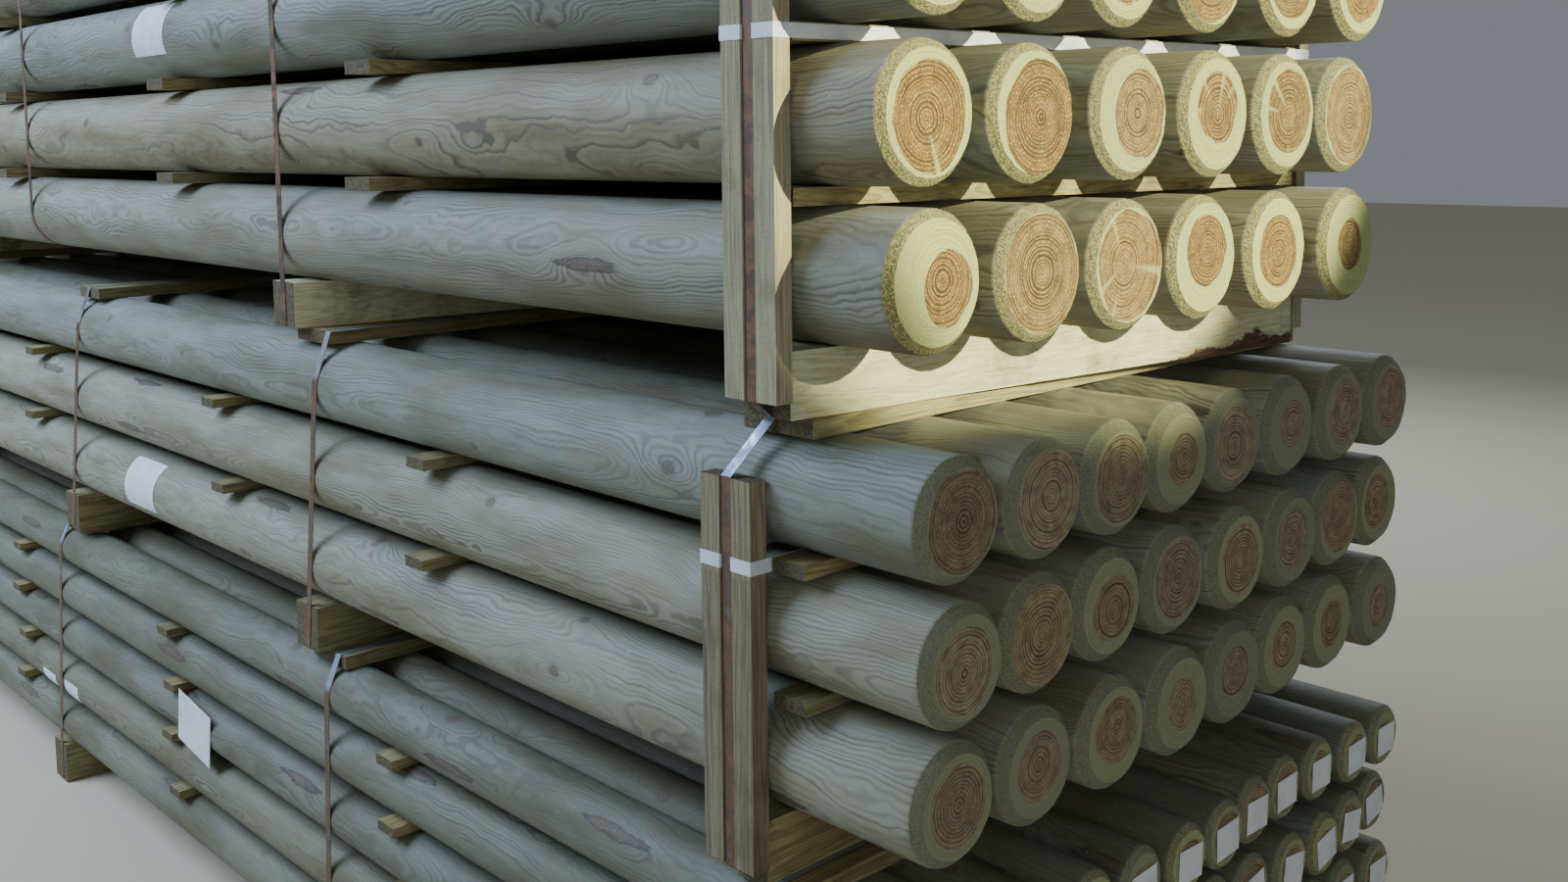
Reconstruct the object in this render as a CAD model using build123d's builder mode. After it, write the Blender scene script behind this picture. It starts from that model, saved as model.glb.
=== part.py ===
"""Stack of machine-rounded logs: three strapped packs, one on another.

Frame: X runs along the logs, -Y is the near side, Z is up and the floor is z = 0.
Each pack is layers of logs with sawn stickers between them, on bearers, under thin
top battens. Steel straps go round it at four stations, and at its two end stations
it also has uprights on both sides, tied across the pack by a band.
"""
import os
from dataclasses import dataclass
from math import acos, atan2, cos, pi, radians, sin, tan

from build123d import *

os.makedirs("parts", exist_ok=True)

# Driving dimensions, in millimetres and degrees
LOG_LENGTH = 4000
SEAT = 0.3  # clearance between a round log and what it lies on, or what stands against it

BEARER_WIDTH = 75
BATTEN_WIDTH = 110
BATTEN_THICKNESS = 22
BATTEN_INSET = 22  # from the near log's side to the end of a top batten

UPRIGHT_WIDTH = 82
UPRIGHT_THICKNESS = 24
UPRIGHT_LIFT = 20  # from the underside of the bearer to the foot of the upright
UPRIGHT_RISE = 20  # from the axis of the top log to the head of the upright
UPRIGHT_GROOVE = 4

STRAP_WIDTH = 16
STRAP_THICKNESS = 0.8
STRAP_GROOVE = 1.5  # how deep the strap has bitten into bearers and battens
STRAP_CLEARANCE = 0.3
GROOVE_CLEARANCE = 3  # on each side of the strap, in bearers and battens
UPRIGHT_GROOVE_CLEARANCE = 2
GROOVE_WIDTH = STRAP_WIDTH + 2 * GROOVE_CLEARANCE
UPRIGHT_GROOVE_WIDTH = STRAP_WIDTH + 2 * UPRIGHT_GROOVE_CLEARANCE
BAND_WIDTH = 16
BAND_THICKNESS = 0.8
BAND_CLEARANCE = 0.1

CARD_WIDTH = 148
CARD_HEIGHT = 105
SCRAP_WIDTH = 84
SCRAP_HEIGHT = 42
LABEL_WIDTH = 54
LABEL_HEIGHT = 44
LABEL_ASIDE = 2
LABEL_DROP = 5
LABEL_TURN = 9
SHEET_THICKNESS = 0.5


@dataclass
class Pack:
    """One strapped pack. Its logs are numbered from the near side and from below."""

    name: str
    floor: float  # height of what its bearers stand on
    bearer_height: float
    log_diameter: float
    log_gap: float
    logs_per_layer: int
    layers: int
    sticker_thickness: float
    sticker_width: float
    centre: float  # where the middle of the logs' length lies along X
    skew: float  # how far the cross pieces are turned from square, in degrees
    end_chamfer: float
    stagger: float  # how far single logs are pushed in or out of line
    overhang: float  # from the log ends to the end stations
    shift_2: float  # how far the second station is off even spacing
    shift_3: float
    lean_1: float  # how far the top of the first strap stands ahead of its foot
    lean_2: float
    lean_3: float
    end_sticker: float  # from the end station to the outermost sticker
    sticker_1: float  # an inner sticker's place, from the middle of its bay
    sticker_2: float
    sticker_3: float
    bare_station: int = -1  # a station that has a strap but no bearer

    @property
    def radius(self):
        return self.log_diameter / 2

    @property
    def spacing(self):
        return self.log_diameter + self.log_gap

    @property
    def width(self):
        return self.spacing * (self.logs_per_layer - 1) + self.log_diameter

    @property
    def layer_gap(self):
        return self.sticker_thickness + 2 * SEAT

    @property
    def pitch(self):
        return self.log_diameter + self.layer_gap

    @property
    def bearer_top(self):
        return self.floor + self.bearer_height

    @property
    def near(self):
        return NEAR_SIDE

    @property
    def far(self):
        return NEAR_SIDE + self.width

    @property
    def slope(self):
        return tan(radians(self.skew))

    @property
    def far_shift(self):
        return self.width * self.slope

    @property
    def stations(self):
        span = LOG_LENGTH - 2 * self.overhang
        first = self.centre + span / 2
        return (
            first,
            first - span / 3 + self.shift_2,
            first - span * 2 / 3 + self.shift_3,
            first - span,
        )

    @property
    def leans(self):
        return (self.lean_1, self.lean_2, self.lean_3, 0)

    @property
    def strap_tops(self):
        return [x + lean for x, lean in zip(self.stations, self.leans)]

    def sticker_places(self):
        one, two, three, four = self.stations
        return (
            one + self.end_sticker,
            (one + two) / 2 + self.sticker_1,
            (two + three) / 2 + self.sticker_2,
            (three + four) / 2 + self.sticker_3,
            four - self.end_sticker,
        )

    def bearer_places(self):
        return [x for i, x in enumerate(self.stations) if i != self.bare_station]

    def axis_height(self, row):
        return self.bearer_top + SEAT + self.radius + row * self.pitch

    def logs_top(self):
        return self.axis_height(self.layers - 1) + self.radius

    def batten_bottom(self):
        return self.logs_top() + SEAT

    def batten_top(self):
        return self.batten_bottom() + BATTEN_THICKNESS

    def log_place(self, row, number):
        """The middle of a log. The stagger is odd about the pack's own middle."""
        across = number - (self.logs_per_layer - 1) / 2
        up = row - (self.layers - 1) / 2
        skewed = across * self.spacing * self.slope
        pushed = self.stagger * sin(2.3 * up + 5.1 * across)
        y = self.near + self.radius + number * self.spacing
        return (self.centre + skewed + pushed, y, self.axis_height(row))


# The middle pack sets the width of the stack, and all three are flush on the near side
MIDDLE_LOG = 136
MIDDLE_GAP = 3.4
MIDDLE_COUNT = 8
NEAR_SIDE = -((MIDDLE_LOG + MIDDLE_GAP) * (MIDDLE_COUNT - 1) + MIDDLE_LOG) / 2

lower = Pack(
    name="lower", floor=0, bearer_height=92, log_diameter=92, log_gap=0.7,
    logs_per_layer=12, layers=5, sticker_thickness=16, sticker_width=50,
    centre=8, skew=0, end_chamfer=7, stagger=8, overhang=226, shift_2=82, shift_3=-72,
    lean_1=0, lean_2=40, lean_3=97, end_sticker=70,
    sticker_1=-324, sticker_2=15, sticker_3=319,
)
middle = Pack(
    name="middle", floor=lower.batten_top(), bearer_height=75,
    log_diameter=MIDDLE_LOG, log_gap=MIDDLE_GAP, logs_per_layer=MIDDLE_COUNT, layers=3,
    sticker_thickness=16.4, sticker_width=50,
    centre=9, skew=0, end_chamfer=11, stagger=6, overhang=265, shift_2=69, shift_3=98,
    lean_1=32, lean_2=76, lean_3=120, end_sticker=70,
    sticker_1=-171, sticker_2=216, sticker_3=388,
)
upper = Pack(
    name="upper", floor=middle.batten_top(), bearer_height=75, log_diameter=154,
    log_gap=1, logs_per_layer=6, layers=4, sticker_thickness=20, sticker_width=75,
    centre=0, skew=5.5, end_chamfer=9, stagger=7, overhang=212, shift_2=26, shift_3=-26,
    lean_1=0, lean_2=0, lean_3=0, end_sticker=0,
    sticker_1=-305, sticker_2=140, sticker_3=405, bare_station=2,
)
PACKS = (lower, middle, upper)

STICKER_PROUD = 4  # how far an inner sticker stands out of the pack on either side
STICKER_INSET = 6  # how far an end sticker stops short of the pack's sides
STICKER_SCATTER = 18


def outline(pack, x, start, end, width):
    """Corners of a piece across a pack, its ends cut in line with the logs. Its place
    along X is where its middle line meets the pack's near side."""
    near_x = x + (start - pack.near) * pack.slope
    far_x = x + (end - pack.near) * pack.slope
    half = width / 2
    return (
        (near_x - half, start),
        (near_x + half, start),
        (far_x + half, end),
        (far_x - half, end),
    )


def make_layer(pack, row):
    """One layer of logs, each turned round and chamfered at both ends."""
    with BuildPart() as layer:
        with Locations(*[pack.log_place(row, n) for n in range(pack.logs_per_layer)]):
            Cylinder(pack.radius, LOG_LENGTH, rotation=(0, 90, 0))
        chamfer(layer.edges().filter_by(GeomType.CIRCLE), pack.end_chamfer)
    return layer


def make_bearers(pack):
    """Sawn bearers under the logs, with the mark of the strap along the underside."""
    with BuildPart() as bearers:
        for x in pack.bearer_places():
            with BuildSketch(Plane.XY.offset(pack.floor)):
                with BuildLine():
                    corners = outline(pack, x, pack.near, pack.far, BEARER_WIDTH)
                    Polyline(*corners, close=True)
                make_face()
            extrude(amount=pack.bearer_height)
            with BuildSketch(Plane.XY.offset(pack.floor)):
                with BuildLine():
                    corners = outline(pack, x, pack.near, pack.far, GROOVE_WIDTH)
                    Polyline(*corners, close=True)
                make_face()
            extrude(amount=STRAP_GROOVE, mode=Mode.SUBTRACT)
    return bearers


def make_stickers(pack, gap):
    """The sawn strips that keep one layer off the next."""
    bottom = pack.axis_height(gap) + pack.radius + SEAT
    with BuildPart() as stickers:
        for i, x in enumerate(pack.sticker_places()):
            inner = 0 < i < 4
            proud = STICKER_PROUD * (0.75 + 0.25 * sin(4.1 * i + 2.3 * gap))
            if inner:
                x += STICKER_SCATTER * sin(3.7 * i + 2.9 * gap)
            start = pack.near - proud if inner else pack.near + STICKER_INSET
            end = pack.far + proud if inner else pack.far - STICKER_INSET
            with BuildSketch(Plane.XY.offset(bottom)):
                with BuildLine():
                    corners = outline(pack, x, start, end, pack.sticker_width)
                    Polyline(*corners, close=True)
                make_face()
            extrude(amount=pack.sticker_thickness)
    return stickers


def batten_places(pack, above):
    """Each batten lies under its strap, and also under the next pack's bearer."""
    if above is None:
        return pack.strap_tops
    places = []
    for i, top in enumerate(pack.strap_tops):
        carried = top if i == above.bare_station else above.stations[i]
        places.append((top + carried) / 2)
    return places


def make_battens(pack, above):
    """Thin boards on the top layer, each grooved where the strap crosses it."""
    start = pack.near + BATTEN_INSET
    end = pack.far - BATTEN_INSET
    with BuildPart() as battens:
        for x, strap in zip(batten_places(pack, above), pack.strap_tops):
            with BuildSketch(Plane.XY.offset(pack.batten_bottom())):
                with BuildLine():
                    corners = outline(pack, x, start, end, BATTEN_WIDTH)
                    Polyline(*corners, close=True)
                make_face()
            extrude(amount=BATTEN_THICKNESS)
            with BuildSketch(Plane.XY.offset(pack.batten_top())):
                with BuildLine():
                    corners = outline(pack, strap, start, end, GROOVE_WIDTH)
                    Polyline(*corners, close=True)
                make_face()
            extrude(amount=-STRAP_GROOVE, mode=Mode.SUBTRACT)
    return battens


def upright_foot(pack):
    return pack.floor + UPRIGHT_LIFT


def upright_head(pack):
    return pack.axis_height(pack.layers - 1) + UPRIGHT_RISE


def end_stations(pack):
    return (pack.stations[0], pack.stations[-1])


def make_uprights(pack):
    """Boards against both sides at the end stations, grooved for the strap."""
    with BuildPart() as uprights:
        for x in end_stations(pack):
            for side, foot in ((-1, pack.near - SEAT), (1, pack.far + SEAT)):
                shift = pack.far_shift if side > 0 else 0
                middle_y = foot + side * UPRIGHT_THICKNESS / 2
                face_y = foot + side * (UPRIGHT_THICKNESS - UPRIGHT_GROOVE / 2)
                height = upright_head(pack) - upright_foot(pack)
                with BuildSketch(Plane.XY.offset(upright_foot(pack))):
                    with Locations((x + shift, middle_y)):
                        Rectangle(UPRIGHT_WIDTH, UPRIGHT_THICKNESS)
                    with Locations((x + shift, face_y)):
                        Rectangle(UPRIGHT_GROOVE_WIDTH, UPRIGHT_GROOVE, mode=Mode.SUBTRACT)
                extrude(amount=height)
    return uprights


def shoulder(pack, corner):
    """Where a strap from the batten's corner first touches the top log, as an angle."""
    radius = pack.radius + STRAP_CLEARANCE
    centre = (pack.near + pack.radius, pack.axis_height(pack.layers - 1))
    across, up = corner[0] - centre[0], corner[1] - centre[1]
    distance = (across**2 + up**2) ** 0.5
    return atan2(up, across) + acos(radius / distance)


def on_log(pack, row, angle):
    """A point just clear of the near log's surface, at an angle from +Y."""
    radius = pack.radius + STRAP_CLEARANCE
    y = pack.near + pack.radius + radius * cos(angle)
    return (y, pack.axis_height(row) + radius * sin(angle))


def mirrored(pack, point):
    """The same point on the far side of the pack."""
    return (pack.near + pack.far - point[0], point[1])


def strap_face_depth():
    """How deep the strap's inner face lies in an upright, clear of the band below it."""
    return UPRIGHT_GROOVE - BAND_CLEARANCE - BAND_THICKNESS - BAND_CLEARANCE


def make_straps(pack):
    """Steel straps, each a closed loop round the pack at one station."""
    top_inner = pack.batten_top() - STRAP_GROOVE + STRAP_CLEARANCE
    foot_inner = pack.floor + STRAP_GROOVE - STRAP_CLEARANCE
    corner = (pack.near + BATTEN_INSET - STRAP_CLEARANCE, top_inner)
    side = pack.near - STRAP_CLEARANCE
    outer = pack.near - SEAT - UPRIGHT_THICKNESS + strap_face_depth()
    last = pack.layers - 1
    loops = []
    for i, x in enumerate(pack.stations):
        with_upright = i in (0, len(pack.stations) - 1)
        with BuildPart() as loop:
            with BuildSketch(Plane.YZ.offset(x)):
                with BuildLine() as inner:
                    if with_upright:
                        near = [
                            (side, foot_inner),
                            (outer, upright_foot(pack)),
                            (outer, upright_head(pack) + STRAP_THICKNESS),
                            corner,
                        ]
                        Polyline(*near)
                        Polyline(*[mirrored(pack, p) for p in near])
                    else:
                        touch = shoulder(pack, corner)
                        halfway = on_log(pack, last, (touch + pi) / 2)
                        for flip in (lambda p: p, lambda p: mirrored(pack, p)):
                            Line(flip(corner), flip(on_log(pack, last, touch)))
                            ThreePointArc(
                                flip(on_log(pack, last, touch)),
                                flip(halfway),
                                flip(on_log(pack, last, pi)),
                            )
                            if i == pack.bare_station:
                                Line(flip(on_log(pack, last, pi)), flip(on_log(pack, 0, pi)))
                                ThreePointArc(
                                    flip(on_log(pack, 0, pi)),
                                    flip(on_log(pack, 0, 1.25 * pi)),
                                    flip(on_log(pack, 0, 1.5 * pi)),
                                )
                            else:
                                Line(flip(on_log(pack, last, pi)), flip((side, foot_inner)))
                    Line(corner, mirrored(pack, corner))
                    low = (side, foot_inner)
                    if i == pack.bare_station:
                        low = on_log(pack, 0, 1.5 * pi)
                    Line(low, mirrored(pack, low))
                make_face()
                offset(amount=STRAP_THICKNESS, kind=Kind.ARC)
                make_face(inner.edges(), mode=Mode.SUBTRACT)
            extrude(amount=STRAP_WIDTH / 2, both=True)
        head = upright_head(pack) + STRAP_THICKNESS
        level = head if with_upright else foot_inner - STRAP_THICKNESS
        reach = outer if with_upright else side
        loops.append(leaning(pack, loop.part, reach, level, top_inner, pack.leans[i]))
    with BuildPart() as straps:
        add(loops)
    return straps


def sheared(part, across, up, near, level):
    """The same shape, pushed along X in proportion to its distance in Y and in Z."""
    push = Matrix(
        [
            [1, across, up, -across * near - up * level],
            [0, 1, 0, 0],
            [0, 0, 1, 0],
        ]
    )
    return part.transform_geometry(push)


def leaning(pack, part, near, level, top, lean):
    """A strap loop, upright below a level and leaning along X above it. In a skewed
    pack its far side stands off along X as the far uprights do."""
    across = pack.far_shift / (pack.near + pack.far - 2 * near)
    if lean == 0:
        return sheared(part, across, 0, near, level) if across else part
    up = lean / (top - level)
    plane = Plane.XY.offset(level)
    if part.bounding_box().min.Z >= level - SEAT:
        return sheared(part, across, up, near, level)
    below = split(part, bisect_by=plane, keep=Keep.BOTTOM)
    above = split(part, bisect_by=plane, keep=Keep.TOP)
    return below + sheared(above, across, up, near, level)


def band_points(x, foot, side):
    """Plan view of the band round one upright, over its edges and into its groove."""
    half = UPRIGHT_WIDTH / 2 + BAND_CLEARANCE
    groove = UPRIGHT_GROOVE_WIDTH / 2 - BAND_CLEARANCE
    level = foot + side * (UPRIGHT_THICKNESS + BAND_CLEARANCE)
    deep = level - side * UPRIGHT_GROOVE
    return [
        (x - half, foot),
        (x - half, level),
        (x - groove, level),
        (x - groove, deep),
        (x + groove, deep),
        (x + groove, level),
        (x + half, level),
        (x + half, foot),
    ]


def tie_level(pack):
    """The band lies in the gap above the second layer, or under the top one."""
    row = pack.layers - 2 if pack.layers != 4 else 1
    return pack.axis_height(row) + pack.radius + pack.layer_gap / 2


def make_bands(pack):
    """Flat bands that tie each near upright to the far one, between two layers."""
    with BuildPart() as bands:
        for x in end_stations(pack):
            with BuildSketch(Plane.XY.offset(tie_level(pack))):
                with BuildLine() as inner:
                    near = band_points(x, pack.near - SEAT, -1)
                    far = band_points(x + pack.far_shift, pack.far + SEAT, 1)
                    Polyline(*near, *reversed(far), close=True)
                make_face()
                offset(amount=BAND_THICKNESS, kind=Kind.INTERSECTION)
                make_face(inner.edges(), mode=Mode.SUBTRACT)
            extrude(amount=BAND_WIDTH / 2, both=True)
    return bands


def make_sheet(pack, row, x, middle_angle, width, height):
    """A sheet of paper bent round a log's near side, as an arc extruded along it."""
    inner = pack.radius + SEAT
    start_y, start_z = pack.near + pack.radius, pack.axis_height(row)
    half = height / 2 / inner
    first, last = middle_angle - half, middle_angle + half

    def point(radius, angle):
        return (start_y - radius * cos(angle), start_z + radius * sin(angle))

    with BuildPart() as sheet:
        with BuildSketch(Plane.YZ.offset(pack.centre + x)):
            with BuildLine():
                thick = inner + SHEET_THICKNESS
                a, b = point(inner, first), point(inner, last)
                c, d = point(thick, last), point(thick, first)
                ThreePointArc(a, point(inner, middle_angle), b)
                Line(b, c)
                ThreePointArc(c, point(thick, middle_angle), d)
                Line(d, a)
            make_face()
        extrude(amount=width / 2, both=True)
    return sheet


# Cards on the near side: pack, row, place along X from the pack's middle, height on the
# log as an angle
CARD_PLACES = ((upper, 2, 96, 0.24), (middle, 0, -81, 0.28))
FLAT_CARD = (lower, 2, 143, -8)  # pack, row, place along X and turn in degrees
SCRAP_PLACES = ((lower, 1, -710, -0.4), (lower, 1, -562, -0.25))


def make_cards():
    """Paper cards and torn scraps of card, stapled to logs on the near side."""
    curved = [make_sheet(*place, CARD_WIDTH, CARD_HEIGHT).part for place in CARD_PLACES]
    scraps = [make_sheet(*place, SCRAP_WIDTH, SCRAP_HEIGHT).part for place in SCRAP_PLACES]
    pack, row, x, turn = FLAT_CARD
    with BuildPart() as cards:
        add(curved)
        add(scraps)
        with BuildSketch(Plane.XZ.offset(-(pack.near - SEAT))):
            with Locations(Location((pack.centre + x, pack.axis_height(row)), turn)):
                Rectangle(CARD_WIDTH, CARD_HEIGHT)
        extrude(amount=SHEET_THICKNESS)
    return cards


def make_end_labels(pack):
    """A small paper label stapled on the +X end of every log in a pack."""
    places = []
    for row in range(pack.layers):
        for number in range(pack.logs_per_layer):
            x, y, z = pack.log_place(row, number)
            end = x + LOG_LENGTH / 2 + SEAT + SHEET_THICKNESS / 2
            turn = LABEL_TURN * sin(3.1 * number + 1.7 * row)
            places.append(Location((end, y + LABEL_ASIDE, z - LABEL_DROP), (turn, 0, 0)))
    with BuildPart() as labels:
        with Locations(*places):
            Box(SHEET_THICKNESS, LABEL_WIDTH, LABEL_HEIGHT)
    return labels


def save(piece, label):
    """Labels a finished piece and writes it under the same name."""
    piece.part.label = label
    export_step(piece.part, f"parts/{label}.step")


for pack, above in zip(PACKS, (middle, upper, None)):
    save(make_bearers(pack), f"{pack.name}_bearers")
    for row in range(pack.layers):
        save(make_layer(pack, row), f"{pack.name}_layer_{row + 1}")
    for gap in range(pack.layers - 1):
        save(make_stickers(pack, gap), f"{pack.name}_stickers_{gap + 1}")
    save(make_battens(pack, above), f"{pack.name}_battens")
    save(make_uprights(pack), f"{pack.name}_uprights")
    save(make_straps(pack), f"{pack.name}_straps")
    save(make_bands(pack), f"{pack.name}_bands")
save(make_cards(), "cards")
save(make_end_labels(lower), "end_labels")
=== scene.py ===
# %% [markdown]
# # A stack of turned logs
# The object is three strapped packs of pine logs. Each log has been turned round by a
# machine, treated, and stacked in layers on sawn bearers. The exact shapes and places
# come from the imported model. This script dresses them: it turns each log again with
# worn ends, and gives the wood its grain, knots and rings, the steel its rust and the
# paper its greyed white.

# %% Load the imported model
import math
import random

import bmesh
import bpy
from mathutils import Matrix, Vector, noise


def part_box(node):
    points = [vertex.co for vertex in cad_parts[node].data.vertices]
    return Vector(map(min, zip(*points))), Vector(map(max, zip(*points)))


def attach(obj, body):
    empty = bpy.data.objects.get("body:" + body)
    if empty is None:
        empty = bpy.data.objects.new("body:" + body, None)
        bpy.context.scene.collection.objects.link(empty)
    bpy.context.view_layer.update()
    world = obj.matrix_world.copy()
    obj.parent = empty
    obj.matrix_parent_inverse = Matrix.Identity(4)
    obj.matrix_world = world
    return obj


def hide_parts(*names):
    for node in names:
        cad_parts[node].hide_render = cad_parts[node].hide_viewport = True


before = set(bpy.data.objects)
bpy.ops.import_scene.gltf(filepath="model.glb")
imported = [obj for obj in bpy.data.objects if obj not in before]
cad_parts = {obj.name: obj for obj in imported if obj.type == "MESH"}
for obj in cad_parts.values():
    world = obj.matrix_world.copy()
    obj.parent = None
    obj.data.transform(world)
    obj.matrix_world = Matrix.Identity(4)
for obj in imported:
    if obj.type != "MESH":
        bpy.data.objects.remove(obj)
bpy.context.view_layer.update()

# %% [markdown]
# ## The camera
# A picture of the stack is taken from about eye height, near one corner, so that both
# the long side and the log ends show. The lens, the direction and a slight roll are
# given as numbers here. A small vertical shift frames the packs as a cropped picture
# does, and keeps the uprights from leaning much.

# %% Camera
IMAGE_WIDTH, IMAGE_HEIGHT = 1600, 900
SENSOR_WIDTH = 36
EYE = Vector((2.953, -1.645, 1.481))
YAW, PITCH, ROLL = math.radians(46.21), math.radians(5.94), math.radians(0.52)
FOCAL_PIXELS = 1512.3
PRINCIPAL_ROW = 300  # the row that the lens axis meets


def camera_axes(yaw, pitch, roll):
    """Right, up and back of a camera that looks along +Y at yaw 0 and is pitched down."""
    flat = math.cos(pitch)
    forward = Vector((-math.sin(yaw) * flat, math.cos(yaw) * flat, -math.sin(pitch)))
    level = Vector((math.cos(yaw), math.sin(yaw), 0))
    down = forward.cross(level)
    right = math.cos(roll) * level + math.sin(roll) * down
    below = -math.sin(roll) * level + math.cos(roll) * down
    return right, -below, -forward


camera_data = bpy.data.cameras.new("camera")
camera_data.sensor_width = SENSOR_WIDTH
camera_data.lens = SENSOR_WIDTH * FOCAL_PIXELS / IMAGE_WIDTH
camera_data.shift_y = -(IMAGE_HEIGHT / 2 - PRINCIPAL_ROW) / IMAGE_WIDTH
camera_data.clip_start = 0.05
camera = bpy.data.objects.new("camera", camera_data)
right, up, back = camera_axes(YAW, PITCH, ROLL)
camera.matrix_world = Matrix(
    (
        (right.x, up.x, back.x, EYE.x),
        (right.y, up.y, back.y, EYE.y),
        (right.z, up.z, back.z, EYE.z),
        (0, 0, 0, 1),
    )
)
bpy.context.scene.collection.objects.link(camera)
bpy.context.scene.camera = camera
print("lens", round(camera_data.lens, 2), "mm")

# %% [markdown]
# ## Light and floor
# The stack stands on a pale floor in soft light. A wide blue lamp, high in front and
# to the left, is the sky: it gives the top of each log a cool sheen and leaves the
# gaps between the layers dark. A narrow warm lamp off the log ends is the patch of
# sun on the top pack. Two weak lamps fill in, one for the ends below it and one
# behind the stack.

# %% Light and floor
SKY = (0.84, 0.90, 0.98)
SKY_STRENGTH = 0.24
FLOOR_REACH = 30


def soft_lamp(name, kind, place, aim, watts, colour, **settings):
    """A lamp that points at a spot."""
    data = bpy.data.lights.new(name, kind)
    data.energy = watts
    data.color = colour
    for key, value in settings.items():
        setattr(data, key, value)
    lamp = bpy.data.objects.new(name, data)
    direction = Vector(aim) - Vector(place)
    turn = direction.to_track_quat("-Z", "Y").to_matrix().to_4x4()
    lamp.matrix_world = Matrix.Translation(place) @ turn
    bpy.context.scene.collection.objects.link(lamp)


world = bpy.data.worlds.new("sky")
world.use_nodes = True
background = world.node_tree.nodes["Background"]
background.inputs["Color"].default_value = (*SKY, 1)
background.inputs["Strength"].default_value = SKY_STRENGTH
bpy.context.scene.world = world

soft_lamp("overhead", "AREA", (-2.6, -3.8, 4.8), (-1.5, 0, 1.0), 510, (0.74, 0.90, 1.25), size=4.0)
soft_lamp("end_fill", "AREA", (4.2, -1.5, 1.5), (2.0, -0.3, 0.8), 11, (0.96, 0.97, 0.96), size=1.0)
soft_lamp("back_fill", "AREA", (-0.8, 5.2, 4.2), (0.0, 0, 0.9), 165, (0.86, 0.94, 1.06), size=3.0)
soft_lamp("low_key", "SPOT", (9.0, 1.1, 3.60), (2.0, -0.10, 1.655), 7400, (0.99, 0.95, 0.63),
          spot_size=math.radians(7.9), spot_blend=0.16, shadow_soft_size=0.04)

floor_mesh = bpy.data.meshes.new("floor")
floor_bm = bmesh.new()
bmesh.ops.create_grid(floor_bm, x_segments=1, y_segments=1, size=FLOOR_REACH)
floor_bm.to_mesh(floor_mesh)
floor_bm.free()
floor = bpy.data.objects.new("floor", floor_mesh)
bpy.context.scene.collection.objects.link(floor)
print("lamps and floor made")

# %% [markdown]
# ## A helper for materials
# Every finish here is made of nodes. Adding them by hand takes many lines, so this
# helper keeps one tree and returns sockets that can be passed on to the next node. Its
# short methods read like the sums that they stand for.


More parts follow.
